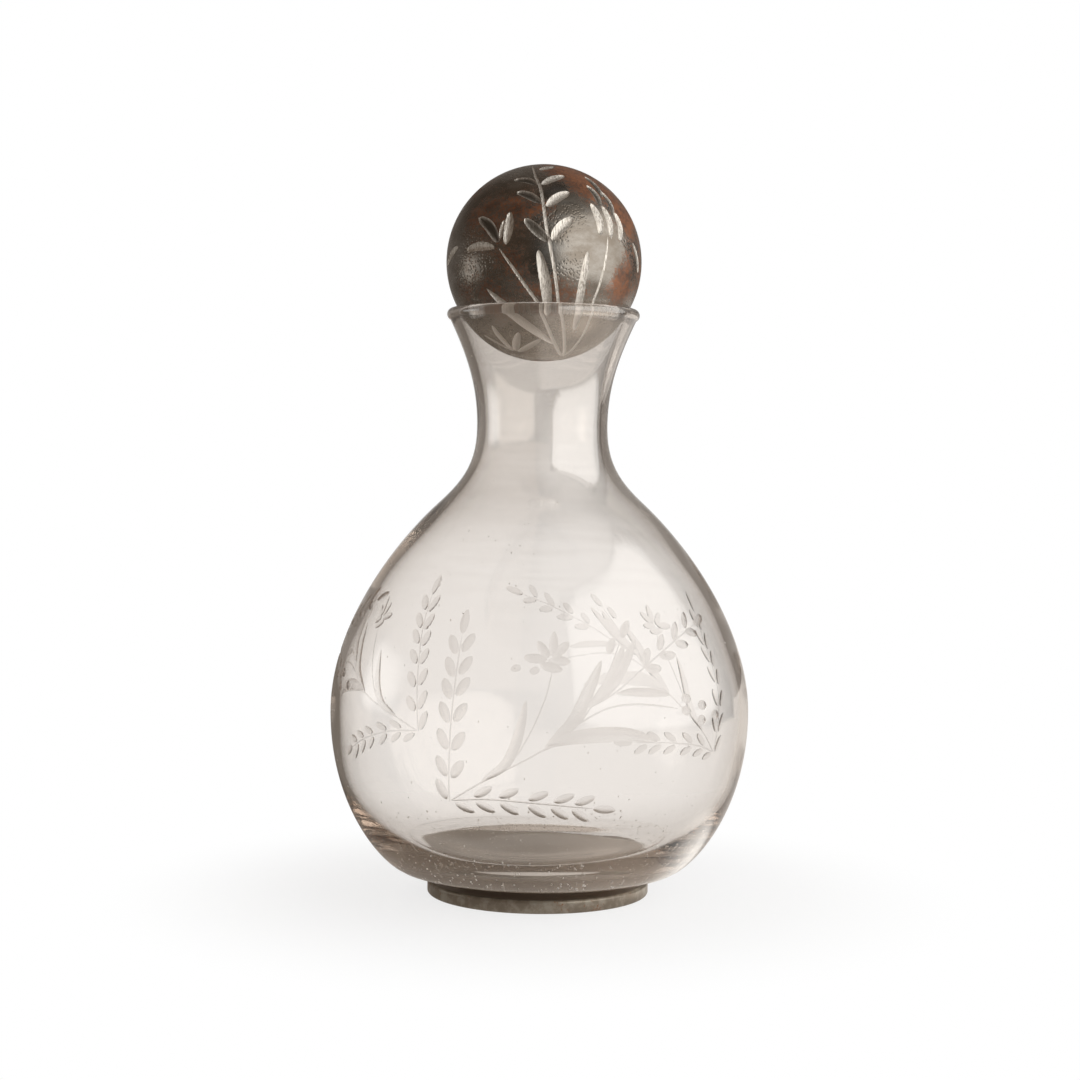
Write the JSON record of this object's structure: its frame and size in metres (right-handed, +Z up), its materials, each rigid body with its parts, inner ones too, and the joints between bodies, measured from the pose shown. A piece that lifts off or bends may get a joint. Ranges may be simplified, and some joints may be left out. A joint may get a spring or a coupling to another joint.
{
  "type": "decanter",
  "caption": "Pear-shaped smoked glass decanter with a flared mouth, a low disc foot and a hollow ball stopper that rests on the lip.",
  "frame": {"origin": "centre of the foot's underside, on the turning axis", "axes": "+Z up the turning axis towards the stopper; -Y faces the viewer of the picture, and +X is to their right"},
  "size_m": [0.15, 0.15, 0.2619],
  "materials": {
    "smoked_glass": "clear smoke-taupe blown glass with satin cut ornament",
    "bronze_lustre": "dark bronze and copper lustre on blown glass, with frosted cut ornament",
    "foot_lustre": "satin bronze and copper lustre on pressed glass",
    "button_glass": "fused glass under bronze lustre"
  },
  "bodies": {
    "bottle": {"foot": "foot_lustre", "vessel": "smoked_glass"},
    "stopper": {"ball_stopper": "bronze_lustre", "stopper_button": "button_glass"}
  },
  "joints": [
    {"name": "stopper_lift", "type": "slide", "parent": "bottle", "child": "stopper", "axis": [0, 0, 1], "range_m": [0, 0.08]}
  ]
}
